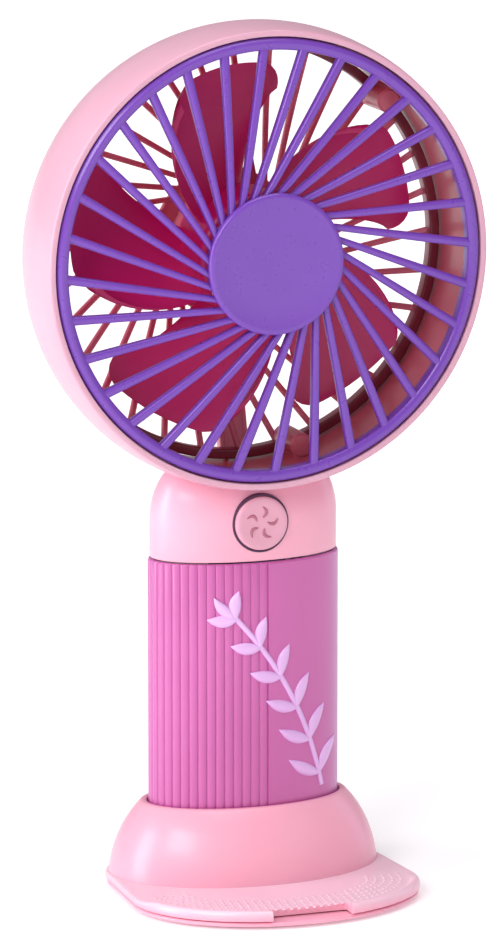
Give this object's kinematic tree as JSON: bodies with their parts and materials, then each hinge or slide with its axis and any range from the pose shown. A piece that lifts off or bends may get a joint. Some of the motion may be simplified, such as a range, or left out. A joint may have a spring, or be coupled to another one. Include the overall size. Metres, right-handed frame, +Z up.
{
  "type": "handheld electric fan",
  "caption": "Rechargeable hand-held fan with a round guarded head, an oval fluted handle and a push button, standing in a cap-shaped desk stand with a brim for a phone.",
  "frame": {"origin": "on the handle's axis, at the underside of the stand's foot pad", "axes": "+Z up along the handle, -Y towards the front of the fan, +X to the right seen from the front"},
  "size_m": [0.1, 0.0648, 0.1884],
  "materials": {
    "pink_shell": "satin moulded",
    "pink_button": "satin moulded",
    "purple_grille": "satin moulded",
    "magenta_sleeve": "pearl gloss, fluted",
    "lilac_trim": "gloss",
    "crimson_blades": "gloss",
    "dark_trim": "matte",
    "rubber_pad": "matte",
    "inner_plastic": "moulded",
    "black_plastic": "moulded",
    "screw_steel": "zinc plated",
    "nickel": "nickel",
    "bronze": "sintered bronze",
    "copper": "copper windings",
    "magnet": "ferrite",
    "board": "solder mask",
    "cell_wrap": "shrink wrap",
    "lead_red": "insulation",
    "lead_black": "insulation"
  },
  "bodies": {
    "stand": {"stand_cap": "pink_shell", "stand_base_plate": "pink_shell", "stand_foot_pad": "rubber_pad", "stand_screw_1": "screw_steel", "stand_screw_2": "screw_steel", "stand_screw_3": "screw_steel", "stand_screw_4": "screw_steel"},
    "fan": {"handle_sleeve": "magenta_sleeve", "sleeve_ornament": "lilac_trim", "chassis_front": "inner_plastic", "chassis_rear": "inner_plastic", "chassis_screw_1": "screw_steel", "chassis_screw_2": "screw_steel", "chassis_screw_3": "screw_steel", "chassis_screw_4": "screw_steel", "handle_end_cap": "pink_shell", "battery_cell": "cell_wrap", "cell_tab_negative": "nickel", "cell_tab_positive": "nickel", "cell_lead_black": "lead_black", "cell_lead_red": "lead_red", "neck_collar": "pink_shell", "button_bezel": "dark_trim", "tact_switch": "black_plastic", "control_board": "board", "usb_socket": "nickel", "neck_screw_1": "screw_steel", "neck_screw_2": "screw_steel", "head_shell": "pink_shell", "front_grille": "purple_grille", "grille_badge": "purple_grille", "rear_grille": "pink_shell", "rear_hub_cap": "pink_shell", "grille_screw_1": "screw_steel", "grille_screw_2": "screw_steel", "grille_screw_3": "screw_steel", "motor_can": "screw_steel", "motor_magnet_ring": "magnet", "motor_end_bell": "black_plastic", "motor_bush_front": "bronze", "motor_bush_rear": "bronze", "motor_lead_red": "lead_red", "motor_lead_black": "lead_black"},
    "rotor": {"impeller": "crimson_blades", "motor_shaft": "screw_steel", "motor_armature": "copper", "motor_commutator": "copper"},
    "button": {"power_button": "pink_button"},
    "plunger": {"switch_plunger": "black_plastic"}
  },
  "joints": [
    {"name": "lift_off_stand", "type": "slide", "parent": "stand", "child": "fan", "axis": [0, 0, 1], "range_m": [0, 0.06]},
    {"name": "impeller_spin", "type": "hinge", "parent": "fan", "child": "rotor", "pos_m": [0, 0, 0.1384], "axis": [0, 1, 0], "continuous": true},
    {"name": "button_press", "type": "slide", "parent": "fan", "child": "button", "axis": [0, 1, 0], "range_m": [0, 0.0005], "stiffness_N_per_m": 1500},
    {"name": "plunger_press", "type": "slide", "parent": "fan", "child": "plunger", "axis": [0, 1, 0], "range_m": [0, 0.0005]}
  ],
  "couplings": [
    {"joint": "plunger_press", "follows": "button_press", "ratio": 1}
  ]
}
